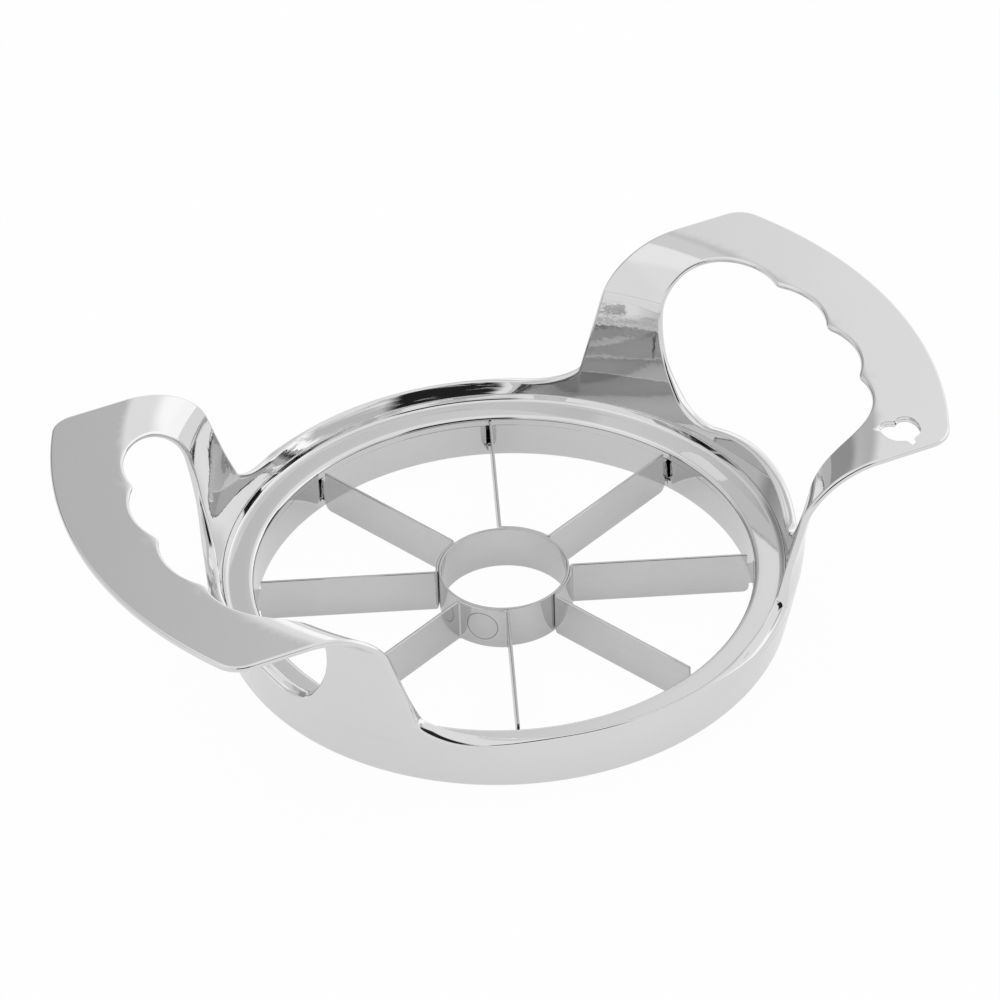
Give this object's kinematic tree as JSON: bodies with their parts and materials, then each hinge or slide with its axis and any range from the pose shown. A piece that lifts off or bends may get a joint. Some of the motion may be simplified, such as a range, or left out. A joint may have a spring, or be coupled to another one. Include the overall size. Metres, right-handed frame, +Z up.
{
  "type": "apple slicer",
  "caption": "Polished apple slicer: flared wall with scalloped finger handles, radial blades round a coring ring, held under a cover ring",
  "frame": {"origin": "on the ring's axis, on the plane the ring stands on", "axes": "X through both handles, Y across the handles, Z up from the cutting edges towards the grips"},
  "size_m": [0.1642, 0.11, 0.0418],
  "materials": {
    "polished_metal": "mirror-bright plated metal",
    "blade_steel": "satin rolled stainless strip"
  },
  "bodies": {
    "root": {"frame": "polished_metal", "cover_ring": "polished_metal", "core_ring": "blade_steel", "blade_pair_1": "blade_steel", "blade_pair_2": "blade_steel", "blade_pair_3": "blade_steel", "blade_pair_4": "blade_steel"}
  },
  "joints": []
}
